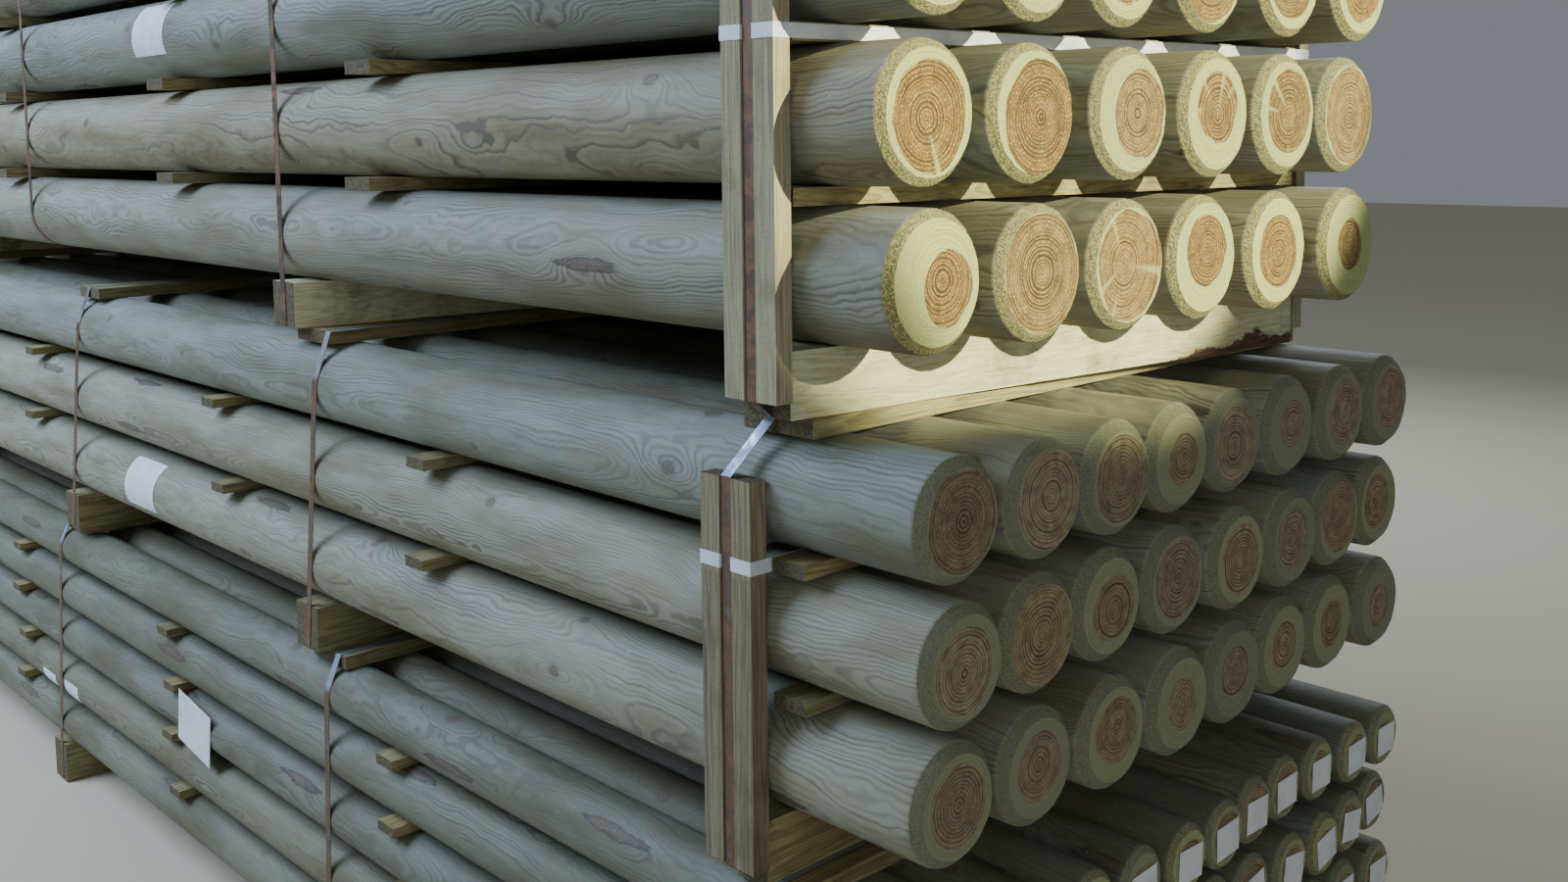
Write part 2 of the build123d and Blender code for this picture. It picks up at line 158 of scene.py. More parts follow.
# %% Recipe helper
class Recipe:
    """One material, built up node by node."""

    def __init__(self, name):
        self.material = bpy.data.materials.new(name)
        self.material.use_nodes = True
        self.tree = self.material.node_tree
        self.shader = self.tree.nodes["Principled BSDF"]

    def node(self, kind, inputs=(), **settings):
        made = self.tree.nodes.new(kind)
        for key, value in settings.items():
            setattr(made, key, value)
        for key, value in dict(inputs).items():
            self.feed(made.inputs[key], value)
        return made

    def feed(self, socket, value):
        """Links another socket, or sets a number, a vector or a red, green and blue."""
        if isinstance(value, bpy.types.NodeSocket):
            self.tree.links.new(value, socket)
        elif value is not None:
            socket.default_value = (*value, 1) if socket.type == "RGBA" else value

    def attribute(self, name, output="Vector"):
        return self.node("ShaderNodeAttribute", attribute_name=name).outputs[output]

    def split(self, vector):
        made = self.node("ShaderNodeSeparateXYZ", {0: vector})
        return made.outputs[0], made.outputs[1], made.outputs[2]

    def join(self, x, y, z):
        return self.node("ShaderNodeCombineXYZ", {0: x, 1: y, 2: z}).outputs[0]

    def math(self, operation, *values):
        made = self.node("ShaderNodeMath", dict(enumerate(values)), operation=operation)
        return made.outputs[0]

    def plus(self, a, b):
        return self.math("ADD", a, b)

    def minus(self, a, b):
        return self.math("SUBTRACT", a, b)

    def times(self, a, b):
        return self.math("MULTIPLY", a, b)

    def over(self, a, b):
        return self.math("DIVIDE", a, b)

    def times_plus(self, a, b, c):
        return self.math("MULTIPLY_ADD", a, b, c)

    def above(self, a, b):
        """1 where a is greater than b, and 0 elsewhere."""
        return self.math("GREATER_THAN", a, b)

    def vector(self, operation, a, b=None):
        made = self.node("ShaderNodeVectorMath", {0: a}, operation=operation)
        self.feed(made.inputs["Scale" if operation == "SCALE" else 1], b)
        return made.outputs["Value" if operation == "LENGTH" else "Vector"]

    def noise(self, place, scale=1.0, detail=2.0, roughness=0.5, output="Fac"):
        inputs = {"Vector": place, "Scale": scale, "Detail": detail, "Roughness": roughness}
        return self.node("ShaderNodeTexNoise", inputs).outputs[output]

    def grain_noise(self, place, stretch, detail=2.0, roughness=0.5):
        """Noise that is finer or coarser along each axis, in spots for each metre."""
        return self.noise(self.vector("MULTIPLY", place, stretch), 1.0, detail, roughness)

    def chance(self, vector):
        """Three random numbers from 0 to 1 for each whole-number place."""
        return self.split(self.node("ShaderNodeTexWhiteNoise", {"Vector": vector}).outputs["Color"])

    def fade(self, value, low, high, to_low=0.0, to_high=1.0):
        """A smooth change from to_low to to_high while the value goes from low to high."""
        inputs = dict(enumerate((value, low, high, to_low, to_high)))
        made = self.node("ShaderNodeMapRange", inputs, interpolation_type="SMOOTHSTEP")
        return made.outputs[0]

    def ramp(self, value, stops):
        made = self.node("ShaderNodeValToRGB", {"Fac": value})
        elements = made.color_ramp.elements
        while len(elements) < len(stops):
            elements.new(0.5)
        for element, (place, colour) in zip(elements, stops):
            element.position = place
            element.color = (*colour, 1)
        return made.outputs["Color"]

    def mix(self, factor, a, b, blend="MIX"):
        made = self.node("ShaderNodeMix", data_type="RGBA", blend_type=blend)
        inputs = {socket.identifier: socket for socket in made.inputs}
        for name, value in (("Factor_Float", factor), ("A_Color", a), ("B_Color", b)):
            self.feed(inputs[name], value)
        return next(s for s in made.outputs if s.identifier == "Result_Color")

    def bump(self, height, distance, strength):
        inputs = {"Height": height, "Distance": distance, "Strength": strength}
        return self.node("ShaderNodeBump", inputs).outputs["Normal"]

    def finish(self, colour, roughness, normal=None, **fixed):
        self.feed(self.shader.inputs["Base Color"], colour)
        self.feed(self.shader.inputs["Roughness"], roughness)
        self.feed(self.shader.inputs["Normal"], normal)
        for name, value in fixed.items():
            self.shader.inputs[name.replace("_", " ")].default_value = value
        return self.material


def greys(*stops):
    """The stops of a ramp between greys."""
    return [(place, (level, level, level)) for place, level in stops]


print("recipe helper ready")

# %% [markdown]
# ## Wood of a turned log
# A real log is a set of growth cones round a pith that wanders. Turning it round cuts
# through those cones, which is why the side shows long wavy lines and the ends show
# rings. So the rings are a true 3-D pattern here: the distance from the pith, bent by
# slow noise and swelling round each knot. Each log carries its own numbers as mesh
# attributes, so no two look the same.

# %% Rings and knots
RING = 0.0046  # metres between two rings on an end
SIDE_LINE = 0.0026  # the same for the lines on the side
SIDE_OFFSET = 0.58  # how far aside the side takes its pith, as a share of the radius
RING_BEND = 0.038  # metres that slow noise bends the rings by
FACE_RIPPLE, SIDE_RIPPLE = 0.0022, 0.0050  # the same for quick noise
KNOT_SWELL = 0.023  # the same beside a knot
RING_PROFILE = greys((0.0, 0.20), (0.15, 0.0), (0.45, 0.10), (0.74, 1.0), (0.92, 0.90), (1.0, 0.20))
WHORL_SPACING = 0.46  # metres from one whorl of knots to the next
KNOTS_ROUND = 4  # places for a knot in each whorl


def knot_grid(wood, along, across, rise, radius, seed):
    """Where the nearest knot is. Knots stand in whorls, a few round the stem at each."""
    turn = wood.over(wood.math("ARCTAN2", rise, across), 2 * math.pi)
    whorl = wood.over(along, WHORL_SPACING)
    whorl_number = wood.math("FLOOR", whorl)
    shift, phase, _ = wood.chance(wood.join(whorl_number, seed, 3.0))
    sector = wood.times(wood.plus(turn, phase), KNOTS_ROUND)
    sector_number = wood.math("FLOORED_MODULO", wood.math("FLOOR", sector), KNOTS_ROUND)
    luck_x, luck_s, luck = wood.chance(wood.join(whorl_number, sector_number, seed))
    middle_x = wood.plus(wood.times_plus(shift, 0.3, 0.32), wood.times(luck_x, 0.10))
    knot_x = wood.times(wood.minus(wood.math("FRACT", whorl), middle_x), WHORL_SPACING)
    middle_s = wood.times_plus(luck_s, 0.3, 0.35)
    sector_width = wood.times(radius, 2 * math.pi / KNOTS_ROUND)
    knot_s = wood.times(wood.minus(wood.math("FRACT", sector), middle_s), sector_width)
    size = wood.math("MAXIMUM", wood.times_plus(luck, 1.4, -0.40), 0.0)
    return knot_x, knot_s, size, luck_x


def oval(wood, knot_x, knot_s, long_way, round_way):
    """Squared distance from a knot, 1 on an oval of these half widths."""
    x = wood.over(knot_x, long_way)
    s = wood.over(knot_s, round_way)
    return wood.plus(wood.times(x, x), wood.times(s, s))


def growth_rings(wood, distance, bend, quick, swell, seed, on_side):
    """How dark the late wood is, from 0 to about 1. Bend and quick are noise about 0."""
    bent = wood.times_plus(bend, RING_BEND, distance)
    ripple = wood.times_plus(on_side, SIDE_RIPPLE - FACE_RIPPLE, FACE_RIPPLE)
    bent = wood.times_plus(quick, ripple, bent)
    bent = wood.times_plus(swell, KNOT_SWELL, bent)
    spacing = wood.times_plus(on_side, SIDE_LINE - RING, RING)
    count = wood.over(bent, spacing)

    # Good and poor years: some rings stand closer and some are fainter.
    uneven = wood.noise(wood.join(wood.times(count, 0.35), seed, 0.0))
    count = wood.times_plus(uneven, 1.9, count)
    year, _, _ = wood.chance(wood.join(wood.math("FLOOR", count), seed, 5.0))
    late = wood.ramp(wood.math("FRACT", count), RING_PROFILE)
    return wood.times(late, wood.times_plus(year, 0.78, 0.30))


print("rings and knots ready")

# %% [markdown]
# The side of a log is sapwood: pale green from the treatment, gone blue-grey in the
# weather, with brown smears of bark that the lathe left.

# %% Side of a log
SIDE_TONES = [(0.30, (0.176, 0.166, 0.108)), (0.42, (0.216, 0.218, 0.160)),
              (0.56, (0.276, 0.297, 0.252)), (0.70, (0.256, 0.246, 0.178))]
LOG_TINTS = [(0.0, (0.88, 0.94, 0.96)), (0.3, (1.14, 1.02, 0.84)), (0.6, (0.94, 0.98, 1.00)),
             (0.85, (1.20, 1.10, 0.92)), (1.0, (1.02, 1.04, 1.06))]
THIN_LOG_PAINTED_SHADE = (0.62, 0.64, 0.60)
LATE_WOOD = (0.088, 0.084, 0.068)
SMUDGE = (0.100, 0.098, 0.078)
SCAR_TONES = [(0.0, (0.115, 0.085, 0.065)), (0.45, (0.095, 0.070, 0.055)),
              (0.70, (0.038, 0.028, 0.026)), (1.0, (0.080, 0.065, 0.052))]
KNOT_TONES = [(0.0, (0.115, 0.085, 0.055)), (0.5, (0.165, 0.125, 0.085)),
              (0.78, (0.110, 0.080, 0.052)), (0.95, (0.030, 0.024, 0.018))]
KNOT_HALO = (0.115, 0.100, 0.070)
SALT = (0.42, 0.46, 0.46)


def sapwood(wood, moved, late, tone, radius):
    """The clean turned surface and its fibre. Thin logs, those of the lower pack, are darkened with
    painted shade.
    """
    blotch = wood.grain_noise(moved, (3.2, 12.0, 12.0), 3.0, 0.60)
    pale = wood.mix(1.0, wood.ramp(blotch, SIDE_TONES), wood.ramp(tone, LOG_TINTS), "MULTIPLY")
    # Painted shade: the thin logs of the lower pack are drawn darker.
    thin = wood.fade(radius, 0.048, 0.066, 1.0, 0.0)
    pale = wood.mix(thin, pale, THIN_LOG_PAINTED_SHADE, "MULTIPLY")
    strength = wood.fade(wood.grain_noise(moved, (2.2, 11.0, 11.0)), 0.33, 0.62, 0.38, 0.84)
    side = wood.mix(wood.times(late, strength), pale, LATE_WOOD)
    fibre = wood.grain_noise(moved, (12.0, 380.0, 380.0), 3.0, 0.6)
    side = wood.mix(0.28, side, wood.ramp(fibre, greys((0.30, 0.36), (0.70, 0.70))), "OVERLAY")
    smudge = wood.grain_noise(moved, (4.0, 17.0, 17.0), 4.0, 0.62)
    side = wood.mix(wood.fade(smudge, 0.55, 0.75, 0.0, 0.32), side, SMUDGE)
    return side, fibre


def add_scars(wood, side, moved, knots, on_side):
    """Brown scars of inner bark beside some knots, dark at their ragged edges."""
    knot_x, knot_s, _, luck = knots
    torn = wood.grain_noise(moved, (30.0, 150.0, 150.0), 4.0, 0.6)
    off_x = wood.minus(knot_x, wood.times_plus(luck, 0.20, -0.17))
    smooth = oval(wood, off_x, knot_s, 0.070, 0.0090)
    scar = wood.times_plus(wood.minus(torn, 0.5), 2.6, smooth)
    has_scar = wood.times(wood.above(luck, 0.80), on_side)
    amount = wood.times(wood.fade(scar, 1.1, 0.8, 0.0, 0.85), has_scar)
    return wood.mix(amount, side, wood.ramp(scar, SCAR_TONES))


def add_knots(wood, side, moved, knots, on_side):
    """Knots, each a thin dark ring round a brown core, and where they are."""
    knot_x, knot_s, size, _ = knots
    smooth = oval(wood, knot_x, knot_s, 0.0120, 0.0085)
    core = wood.over(smooth, wood.math("MAXIMUM", size, 0.05))
    ragged = wood.noise(wood.vector("SCALE", moved, 90.0))
    core = wood.times_plus(wood.minus(ragged, 0.5), 0.9, core)
    has_knot = wood.times(wood.above(size, 0.12), on_side)
    in_knot = wood.times(wood.fade(core, 1.2, 0.9), has_knot)
    side = wood.mix(wood.times(in_knot, 0.8), side, wood.ramp(core, KNOT_TONES))
    halo = wood.times(wood.fade(core, 4.0, 1.0, 0.0, 0.35), has_knot)
    return wood.mix(halo, side, KNOT_HALO), in_knot


def side_colour(wood, moved, late, tone, radius, knots, on_side):
    """Colour of the turned side, its fibre, and how far it is inside a knot."""
    side, fibre = sapwood(wood, moved, late, tone, radius)
    side = add_scars(wood, side, moved, knots, on_side)
    side, in_knot = add_knots(wood, side, moved, knots, on_side)
    salt = wood.noise(wood.vector("SCALE", moved, 240.0), 1.0, 1.0)
    side = wood.mix(wood.fade(salt, 0.745, 0.775, 0.0, 0.6), side, SALT)
    return side, fibre, in_knot


print("side recipe ready")

# %% [markdown]
# The end is brown heartwood in a ring of sapwood, rough from the saw. On some logs pale
# wedges of sapwood run in towards the pith.

# %% Ends of a log
RAY_PLACES = 11  # sectors of the face that may hold a pale wedge
# Painted light: sap and heart each have a colour for an end in painted shade and one for an end in
# painted sun.
SAP_IN_PAINTED_SHADE, SAP_IN_PAINTED_SUN, SAP_RING = (0.190, 0.208, 0.136), (0.430, 0.470, 0.185), (0.17, 0.155, 0.085)
HEART_IN_PAINTED_SHADE, HEART_IN_PAINTED_SUN = (0.312, 0.280, 0.206), (0.270, 0.170, 0.046)
HEART_RING, HEART_PATCH = (0.044, 0.028, 0.014), (0.250, 0.195, 0.085)
HEART_TINTS = [(0.0, (0.70, 0.68, 0.64)), (0.4, (1.04, 1.0, 0.92)), (0.7, (0.82, 0.82, 0.80)),
               (1.0, (1.08, 1.08, 1.08))]
HEART_MOTTLE = [(0.34, (0.66, 0.62, 0.56)), (0.64, (1.16, 1.14, 1.08))]
# Colours of the painted highlights on an end in painted shade and in painted sun.
HIGHLIGHT_IN_PAINTED_SHADE, HIGHLIGHT_IN_PAINTED_SUN = (0.29, 0.27, 0.19), (0.70, 0.57, 0.22)


def pale_rays(wood, off_y, off_z, distance, amount, seed):
    """Pale wedges that run in from the sapwood, as irregular in width as in place."""
    turn = wood.over(wood.math("ARCTAN2", off_z, off_y), 2 * math.pi)
    sector = wood.times(turn, RAY_PLACES)
    number = wood.math("FLOORED_MODULO", wood.math("FLOOR", sector), RAY_PLACES)
    place, width, luck = wood.chance(wood.join(number, seed, 9.0))
    from_middle = wood.minus(wood.math("FRACT", sector), wood.times_plus(place, 0.5, 0.25))
    swing = wood.times(from_middle, 2 * math.pi / RAY_PLACES)
    aside = wood.math("ABSOLUTE", wood.times(wood.math("SINE", swing), distance))
    reach = wood.times_plus(width, 0.042, 0.006)
    beyond = wood.math("MAXIMUM", wood.minus(distance, reach), 0.0)
    half_width = wood.times_plus(beyond, 0.075, 0.0004)
    ray = wood.fade(wood.minus(aside, half_width), 0.0026, -0.0020)
    ray = wood.times(ray, wood.above(distance, reach))
    return wood.times(ray, wood.math("LESS_THAN", luck, amount))


def end_colour(wood, moved, late, saw, in_heart, tone, painted_sun):
    """Colour of the sawn face, with painted light: its sun amount runs from painted shade at 0 to
    painted sun at 1.
    """
    sap = wood.mix(painted_sun, SAP_IN_PAINTED_SHADE, SAP_IN_PAINTED_SUN)
    sap = wood.mix(wood.times(late, 0.26), sap, SAP_RING)
    heart = wood.mix(painted_sun, HEART_IN_PAINTED_SHADE, HEART_IN_PAINTED_SUN)
    heart = wood.mix(1.0, heart, wood.ramp(tone, HEART_TINTS), "MULTIPLY")
    mottle = wood.grain_noise(moved, (0.0, 62.0, 62.0), 3.0, 0.62)
    heart = wood.mix(1.0, heart, wood.ramp(mottle, HEART_MOTTLE), "MULTIPLY")
    # Painted light: the rings are drawn darker on an end in painted sun.
    dark = wood.times(late, wood.times_plus(painted_sun, 0.35, 0.85))
    heart = wood.mix(wood.math("MINIMUM", dark, 0.92), heart, HEART_RING)
    patch = wood.grain_noise(moved, (0.0, 30.0, 30.0))
    heart = wood.mix(wood.fade(patch, 0.45, 0.70, 0.0, 0.25), heart, HEART_PATCH)
    colour = wood.mix(in_heart, sap, heart)
    colour = wood.mix(0.38, colour, wood.ramp(saw, greys((0.34, 0.20), (0.66, 0.80))), "OVERLAY")

    # Painted highlights: bright specks between the rings, as where torn fibres catch the light,
    # more on the heartwood and brighter in painted sun.
    glint = wood.grain_noise(moved, (0.0, 420.0, 420.0), 1.0)
    painted_highlight = wood.times(wood.fade(glint, 0.58, 0.70, 0.0, 0.75), wood.minus(1.0, late))
    painted_highlight = wood.times(painted_highlight, wood.times_plus(in_heart, 0.75, 0.25))
    return wood.mix(painted_highlight, colour, wood.mix(painted_sun, HIGHLIGHT_IN_PAINTED_SHADE, HIGHLIGHT_IN_PAINTED_SUN))


print("end recipe ready")

# %% [markdown]
# One material serves all logs. A mesh attribute tells it whether it is on a face, on the
# bevel round it, which is torn where the cutter went across the grain, or on the side.

# %% Log wood
FACE_MARK, RIM_MARK, SIDE_MARK = 1.0, 0.5, 0.0
# The bevel's colour in painted shade and in painted sun; its speckle is stronger in painted sun.
RIM_IN_PAINTED_SHADE, RIM_IN_PAINTED_SUN = (0.158, 0.174, 0.120), (0.250, 0.240, 0.100)
HEART_RAGGED = 0.017  # metres by which the edge of the heartwood wanders


def pith_offsets(wood, along, across, rise, radius, pith, seed, on_side):
    """How far a point is from the pith, which wanders along the log under the side."""
    pith_y, pith_z = pith
    drift = wood.noise(wood.join(wood.times(along, 0.8), seed, 1.0), 1.0, 1.0, output="Color")
    drift_y, drift_z, _ = wood.split(drift)
    drift_y = wood.times(wood.times_plus(drift_y, 0.05, -0.025), on_side)
    drift_z = wood.times(wood.times_plus(drift_z, 0.05, -0.025), on_side)
    aside = wood.times(wood.times(radius, on_side), SIDE_OFFSET)
    off_y = wood.minus(across, wood.plus(wood.plus(drift_y, pith_y), aside))
    off_z = wood.minus(rise, wood.plus(drift_z, pith_z))
    return off_y, off_z


def log_wood():
    """The material of all logs, led by the numbers that each log carries."""
    wood = Recipe("turned_pine")
    grain = wood.attribute("grain")
    along, across, rise = wood.split(grain)
    # The log's facts: its radius, how much painted sun its ends get, and a random tone.
    radius, painted_sun, tone = wood.split(wood.attribute("log_facts"))
    pith_y, pith_z, ray_amount = wood.split(wood.attribute("pith"))
    heart_y, heart_z, heart_radius = wood.split(wood.attribute("heart"))
    end = wood.attribute("end_grain", "Fac")
    face = wood.above(end, (FACE_MARK + RIM_MARK) / 2)
    rim = wood.minus(wood.above(end, (RIM_MARK + SIDE_MARK) / 2), face)
    on_side = wood.minus(1.0, wood.plus(face, rim))
    seed = wood.times(tone, 91.7)
    moved = wood.vector("ADD", grain, wood.join(seed, 0.0, seed))

    # Knots, which push the rings out round them on the side.
    knots = knot_grid(wood, along, across, rise, radius, seed)
    knot_x, knot_s, size, _ = knots
    wide = oval(wood, knot_x, knot_s, 0.070, wood.times(radius, 0.36))
    swell = wood.times(wood.math("EXPONENT", wood.times(wide, -1.0)), size)
    swell = wood.times(swell, on_side)

    # Rings, and the turned side that they come out on.
    off_y, off_z = pith_offsets(wood, along, across, rise, radius, (pith_y, pith_z), seed, on_side)
    distance = wood.vector("LENGTH", wood.join(off_y, off_z, 0.0))
    bend = wood.minus(wood.grain_noise(moved, (2.6, 9.0, 9.0)), 0.5)
    bend = wood.times(bend, wood.times_plus(face, -0.72, 1.0))
    quick = wood.minus(wood.grain_noise(moved, (26.0, 30.0, 30.0)), 0.5)
    late = growth_rings(wood, distance, bend, quick, swell, seed, on_side)
    side, fibre, in_knot = side_colour(wood, moved, late, tone, radius, knots, on_side)

    # The sawn face: heartwood with a wavy edge, and pale wedges that run into it.
    saw = wood.grain_noise(moved, (60.0, 620.0, 620.0), 2.0, 0.6)
    wavy = wood.grain_noise(moved, (0.0, 17.0, 17.0))
    from_heart = wood.join(wood.minus(across, heart_y), wood.minus(rise, heart_z), 0.0)
    edge = wood.times_plus(wood.minus(wavy, 0.5), HEART_RAGGED, heart_radius)
    beyond_edge = wood.minus(wood.vector("LENGTH", from_heart), edge)
    rays = pale_rays(wood, off_y, off_z, distance, ray_amount, seed)
    in_heart = wood.fade(beyond_edge, 0.0010, -0.0010)
    in_heart = wood.times(in_heart, wood.times_plus(rays, -0.85, 1.0))
    face_colour = end_colour(wood, moved, late, saw, in_heart, tone, painted_sun)

    # The torn bevel, with its painted sun and shade, and then the colour of all three.
    tear = wood.grain_noise(moved, (300.0, 430.0, 430.0), 3.0, 0.6)
    rim_colour = wood.mix(wood.times_plus(painted_sun, 0.42, 0.14), wood.mix(painted_sun, RIM_IN_PAINTED_SHADE, RIM_IN_PAINTED_SUN),
                          wood.ramp(tear, greys((0.40, 0.06), (0.60, 0.90))), "OVERLAY")
    colour = wood.mix(face, side, face_colour)
    colour = wood.mix(rim, colour, rim_colour)

    # Relief: late wood lies low, and much lower on the face than on the side.
    side_height = wood.plus(wood.times(late, -0.22), wood.times(fibre, 0.35))
    side_height = wood.times_plus(in_knot, 0.5, side_height)
    end_height = wood.plus(wood.times(late, -0.9), wood.times(saw, 0.8))
    rim_height = wood.times(tear, wood.times_plus(painted_sun, 1.6, 0.8))
    height = wood.times(side_height, on_side)
    height = wood.times_plus(end_height, face, height)
    height = wood.times_plus(rim_height, rim, height)
    roughness = wood.times_plus(on_side, -0.28, 0.90)
    return wood.finish(colour, roughness, wood.bump(height, 0.0012, 0.75), Specular_IOR_Level=0.35)


turned_pine = log_wood()
print("turned_pine:", len(turned_pine.node_tree.nodes), "nodes")

# %% [markdown]
# ## The logs
# A log is a lathe shape, so its outline is drawn and spun about its axis. Where each
# log starts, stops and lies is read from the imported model.

# %% Shape of a log
FACE_LOOPS = (0.0, 0.45, 0.8, 1.0)  # shares of the face's radius
BEVEL_LOOPS = (0.35, 0.7, 1.0)  # shares of the bevel's width
SIDE_LOOPS = (0.004, 0.25)  # metres, from the bevel and from the end
TINY = 1e-5

# The last range of each pack is how much painted sun the ends of its logs get, most on the top
# pack.
PACKS = {
    "lower": dict(logs=12, layers=5, radius=0.046, bevel=0.007, sides=48, painted_sun_range=(0.15, 0.55)),
    "middle": dict(logs=8, layers=3, radius=0.068, bevel=0.011, sides=72, painted_sun_range=(0.0, 0.30)),
    "upper": dict(logs=6, layers=4, radius=0.077, bevel=0.009, sides=80, painted_sun_range=(0.7, 1.0)),
}


def log_ends(node, pack):
    """The two ends and the axis of each log in a layer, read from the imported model."""
    low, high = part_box(node)
    step = (high.y - low.y - 2 * pack["radius"]) / (pack["logs"] - 1)
    first_y, middle_z = low.y + pack["radius"], (low.z + high.z) / 2
    spans = [[] for _ in range(pack["logs"])]
    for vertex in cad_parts[node].data.vertices:
        spans[round((vertex.co.y - first_y) / step)].append(vertex.co.x)
    return [(min(xs), max(xs), first_y + i * step, middle_z) for i, xs in enumerate(spans)]


def log_profile(length, radius, bevel):
    """The outline of a log from pole to pole: face, bevel, side, bevel and face."""
    face_radius = radius - bevel
    points = [(-length / 2, share * face_radius) for share in FACE_LOOPS]
    for share in BEVEL_LOOPS:
        points.append((-length / 2 + bevel * share, face_radius + bevel * share))
    points.append((-length / 2 + bevel + SIDE_LOOPS[0], radius))
    points.append((-length / 2 + SIDE_LOOPS[1], radius))
    mirrored = [(-x, r) for x, r in reversed(points)]
    return points + [(0.0, radius)] + mirrored


def spin_log(length, pack):
    """The bare lathe shape about the X axis, its face, bevel and side told apart."""
    bm = bmesh.new()
    outline = log_profile(length, pack["radius"], pack["bevel"])
    line = [bm.verts.new((x, 0, r)) for x, r in outline]
    edges = [bm.edges.new(pair) for pair in zip(line, line[1:])]
    bmesh.ops.spin(bm, geom=line + edges, cent=(0, 0, 0), axis=(1, 0, 0), angle=2 * math.pi,
                   steps=pack["sides"], use_merge=True)
    poles = [v for v in bm.verts if v.co.yz.length < TINY]
    bmesh.ops.remove_doubles(bm, verts=poles, dist=TINY)
    bmesh.ops.recalc_face_normals(bm, faces=bm.faces)
    end_grain = bm.faces.layers.float.new("end_grain")
    for face in bm.faces:
        middle = face.calc_center_median()
        if abs(middle.x) > length / 2 - TINY:
            face[end_grain] = FACE_MARK
        elif abs(middle.x) > length / 2 - pack["bevel"]:
            face[end_grain] = RIM_MARK
        face.smooth = face[end_grain] == SIDE_MARK
    return bm


print("log shape ready")

# %% [markdown]
# Every log has its own numbers: where its pith and its heartwood are, how much painted
# sun its ends get, and where its grain starts. The points at its ends are worn in a little
# here and there, as handling and the saw leave them.

# %% One log of its own
RIM_WEAR, FACE_WEAR = 0.0010, 0.0006  # metres, some points more and some less
WEAR_REACH = 0.001  # metres past the bevel that are still worn
HEART_SHARES = (0.5, 0.6, 0.68, 0.74, 0.78, 0.84)  # of the log's radius
RAY_AMOUNTS = (0.0, 0.0, 0.0, 0.1, 0.3)  # of the places for a pale wedge

# The best seen ends: pith aside and up, heart aside, up and radius, all as shares of the
# log's radius, and then the share of the places for a pale wedge that are taken.
SEEN_ENDS = {
    ("upper_layer_1", 0): (0.10, 0.02, 0.22, -0.10, 0.52, 0.0),
    ("upper_layer_1", 1): (0.0, 0.02, 0.0, 0.0, 0.90, 0.0),
    ("upper_layer_1", 2): (-0.16, 0.02, 0.0, 0.0, 0.84, 0.55),
    ("upper_layer_1", 3): (0.05, 0.12, 0.02, 0.12, 0.58, 0.0),
    ("upper_layer_1", 4): (0.0, -0.05, 0.0, -0.02, 0.62, 0.0),
    ("upper_layer_1", 5): (-0.05, 0.0, 0.0, 0.0, 0.45, 0.0),
    ("upper_layer_2", 0): (-0.08, -0.08, 0.0, -0.04, 0.76, 0.12),
    ("upper_layer_2", 1): (0.12, -0.06, 0.12, -0.08, 0.84, 0.0),
    ("upper_layer_2", 2): (0.1, 0.0, 0.2, 0.0, 0.66, 0.0),
    ("upper_layer_2", 3): (0.0, 0.0, 0.0, 0.1, 0.58, 0.3),
    ("upper_layer_2", 4): (0.05, 0.0, 0.05, 0.05, 0.72, 0.2),
    ("upper_layer_2", 5): (0.0, -0.06, 0.0, 0.0, 0.86, 0.0),
    ("middle_layer_3", 0): (0.02, 0.0, 0.0, 0.0, 0.82, 0.0),
    ("middle_layer_3", 1): (0.06, 0.04, 0.0, 0.0, 0.80, 0.1),
    ("middle_layer_3", 2): (0.0, 0.05, 0.04, 0.0, 0.76, 0.0),
}


def own_numbers(pack, luck, seen):
    """What one log carries for its material: its facts, its pith and its heartwood."""
    radius = pack["radius"]
    if seen:
        pith_y, pith_z, heart_y, heart_z, heart, rays = seen
    else:
        turn, off = luck.uniform(0, 2 * math.pi), luck.uniform(0.02, 0.18)
        pith_y, pith_z = off * math.cos(turn), off * math.sin(turn)
        heart_y, heart_z = pith_y * 0.6, pith_z * 0.6
        heart = luck.choice(HEART_SHARES)
        rays = luck.choice(RAY_AMOUNTS)
    # Painted light: the middle fact is the painted sun on this log's ends, drawn from its pack's
    # range.
    facts = Vector((radius, luck.uniform(*pack["painted_sun_range"]), luck.random()))
    pith_facts = Vector((pith_y * radius, pith_z * radius, rays))
    heart_facts = Vector((heart_y * radius, heart_z * radius, heart * radius))
    return facts, pith_facts, heart_facts


def rolled(rolling, own):
    """Rolls a place, aside and up, about the axis and keeps the number that is with it."""
    turned = rolling @ Vector((0, own.x, own.y))
    return Vector((turned.y, turned.z, own.z))


def wear_end(vertex, length, radius, slide):
    """Wears a point near an end towards the axis and, on the face, along it as well."""
    local = vertex.co.copy()
    rough = noise.noise(Vector((local.x * 400 + slide, local.y * 160, local.z * 160)))
    vertex.co.yz *= 1 - RIM_WEAR * (1 + rough) / radius
    if abs(local.x) > length / 2 - TINY:
        ripple = noise.noise(Vector((slide, local.y * 60, local.z * 60)))
        vertex.co.x -= math.copysign(FACE_WEAR * (1 + ripple), local.x)


